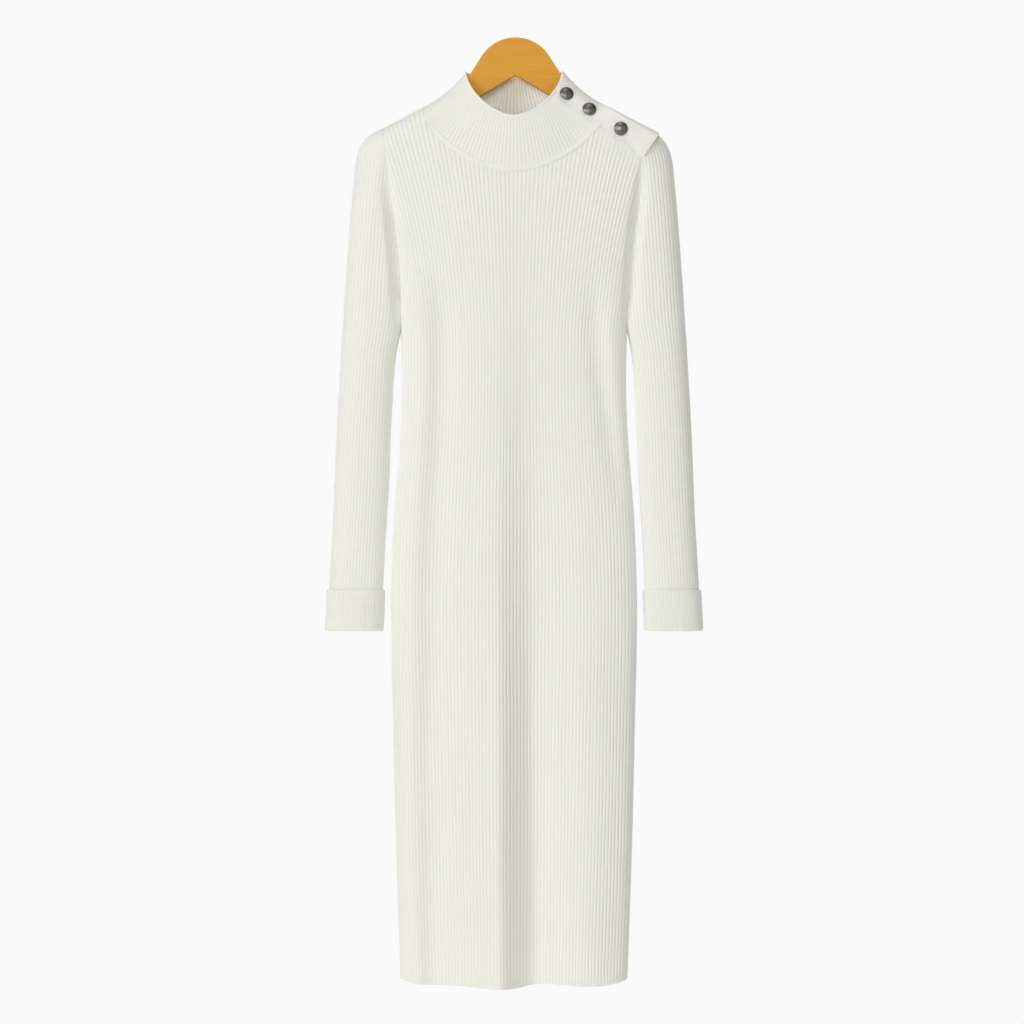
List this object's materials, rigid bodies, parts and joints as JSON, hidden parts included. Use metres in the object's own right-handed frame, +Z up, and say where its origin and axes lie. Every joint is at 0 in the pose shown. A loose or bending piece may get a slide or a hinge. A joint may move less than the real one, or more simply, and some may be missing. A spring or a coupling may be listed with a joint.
{
  "type": "sweater dress on a hanger",
  "caption": "Long, slim rib-knit sweater dress with a funnel neck, a snapped shoulder placket and turned-back cuffs, hanging flat on a plain wooden hanger.",
  "frame": {"origin": "top of the hanger's dome, on its middle plane, where the whole is held", "axes": "+Z up, the front of the dress faces -Y, +X is the wearer's left (the right of a front view)"},
  "size_m": [0.4734, 0.0775, 1.1848],
  "materials": {
    "knit": "off-white rib knit of soft wool-like yarn, matt",
    "placket_knit": "off-white fine plain knit, matt",
    "snap_metal": "gunmetal, dulled polish",
    "hanger_wood": "honey-coloured wood under satin lacquer"
  },
  "bodies": {
    "root": {"front": "knit", "back": "knit", "sleeve_left": "knit", "sleeve_right": "knit", "cuff_left": "knit", "cuff_right": "knit", "collar": "knit", "placket_stand": "placket_knit", "placket_band": "placket_knit", "snap_1": "snap_metal", "snap_2": "snap_metal", "snap_3": "snap_metal", "hanger": "hanger_wood"}
  },
  "joints": []
}
